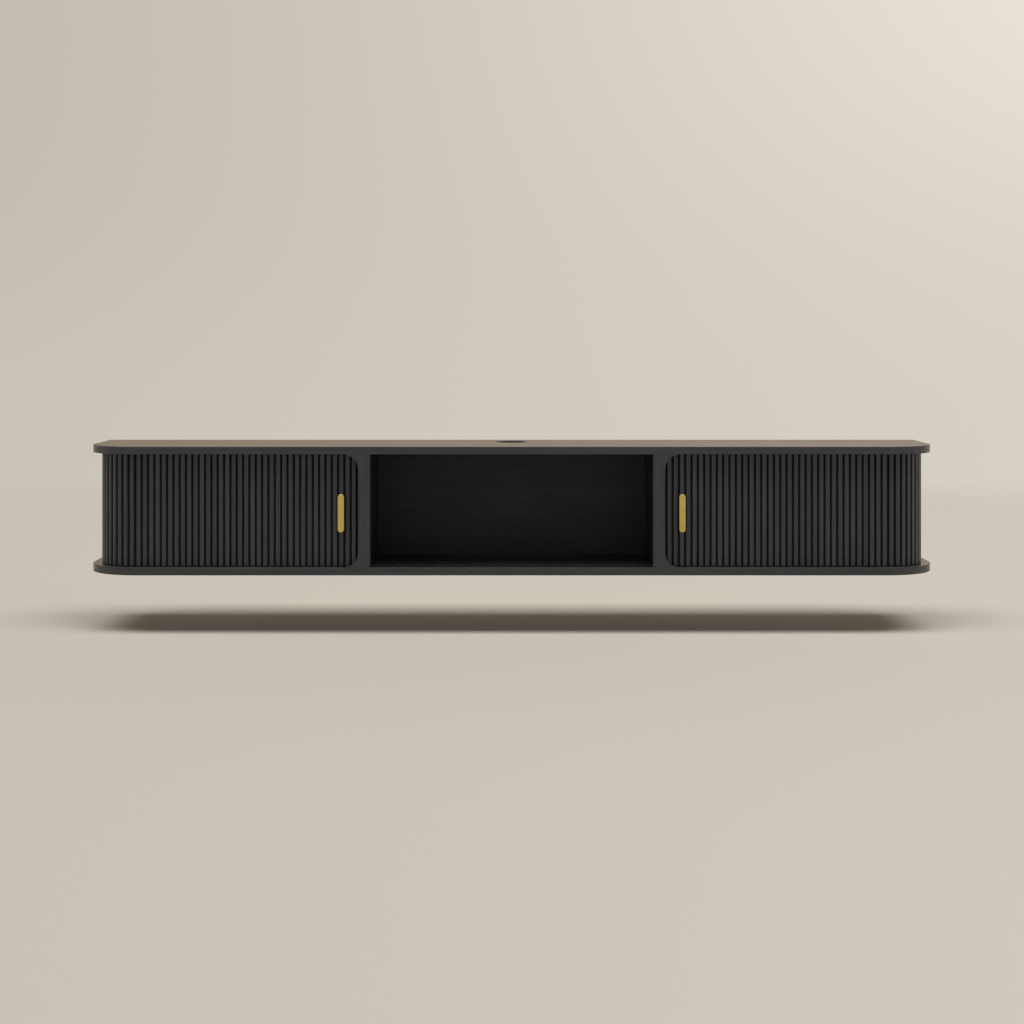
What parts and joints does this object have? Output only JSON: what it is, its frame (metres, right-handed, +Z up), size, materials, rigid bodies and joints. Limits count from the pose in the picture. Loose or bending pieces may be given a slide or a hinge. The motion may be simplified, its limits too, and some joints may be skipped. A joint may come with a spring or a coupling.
{
  "type": "floating media console",
  "caption": "Long wall-hung console: open centre bay between cupboards whose slatted tambour doors slide round the rounded ends.",
  "frame": {"origin": "on the wall plane, at the middle of the line of wall-screw holes", "axes": "+X to the right seen from the room, +Y into the wall, +Z up"},
  "size_m": [2, 0.3, 0.3],
  "materials": {
    "panel_veneer": "black-stained veneer with a satin lacquer",
    "front_wood": "black-stained wood, satin",
    "slat_wood": "black-stained wood slats, matt",
    "inner_wood": "black-stained board, matt",
    "bare_wood": "unfinished hardwood and plywood",
    "curtain_cloth": "black woven backing cloth",
    "handle_brass": "satin brass",
    "screw_steel": "black zinc-plated steel",
    "bumper_rubber": "soft black rubber",
    "grommet_plastic": "black moulded plastic"
  },
  "bodies": {
    "carcass": {"back_panel": "inner_wood", "bottom_panel": "panel_veneer", "cabinet_cleat": "bare_wood", "cable_grommet": "grommet_plastic", "left_divider": "inner_wood", "left_door_bumpers": "bumper_rubber", "left_end_cloth": "curtain_cloth", "left_end_slats": "slat_wood", "left_false_back": "inner_wood", "left_front_cloth": "curtain_cloth", "left_front_slats": "slat_wood", "left_inner_end": "inner_wood", "left_rear_post": "inner_wood", "left_stile": "front_wood", "left_stop_rail": "inner_wood", "lock_screws": "screw_steel", "lower_spacer": "bare_wood", "right_divider": "inner_wood", "right_door_bumpers": "bumper_rubber", "right_end_cloth": "curtain_cloth", "right_end_slats": "slat_wood", "right_false_back": "inner_wood", "right_front_cloth": "curtain_cloth", "right_front_slats": "slat_wood", "right_inner_end": "inner_wood", "right_rear_post": "inner_wood", "right_stile": "front_wood", "right_stop_rail": "inner_wood", "top_panel": "panel_veneer", "wall_cleat": "bare_wood"},
    "left_door": {"left_lead_slats": "slat_wood", "left_lead_cloth": "curtain_cloth", "left_handle": "handle_brass", "left_handle_screws": "screw_steel"},
    "right_door": {"right_lead_slats": "slat_wood", "right_lead_cloth": "curtain_cloth", "right_handle": "handle_brass", "right_handle_screws": "screw_steel"}
  },
  "joints": [
    {"name": "left_door_slide", "type": "slide", "parent": "carcass", "child": "left_door", "axis": [-1, 0, 0], "range_m": [0, 0.445], "deforming": ["left_front_slats", "left_front_cloth"]},
    {"name": "right_door_slide", "type": "slide", "parent": "carcass", "child": "right_door", "axis": [1, 0, 0], "range_m": [0, 0.445], "deforming": ["right_front_slats", "right_front_cloth"]}
  ]
}
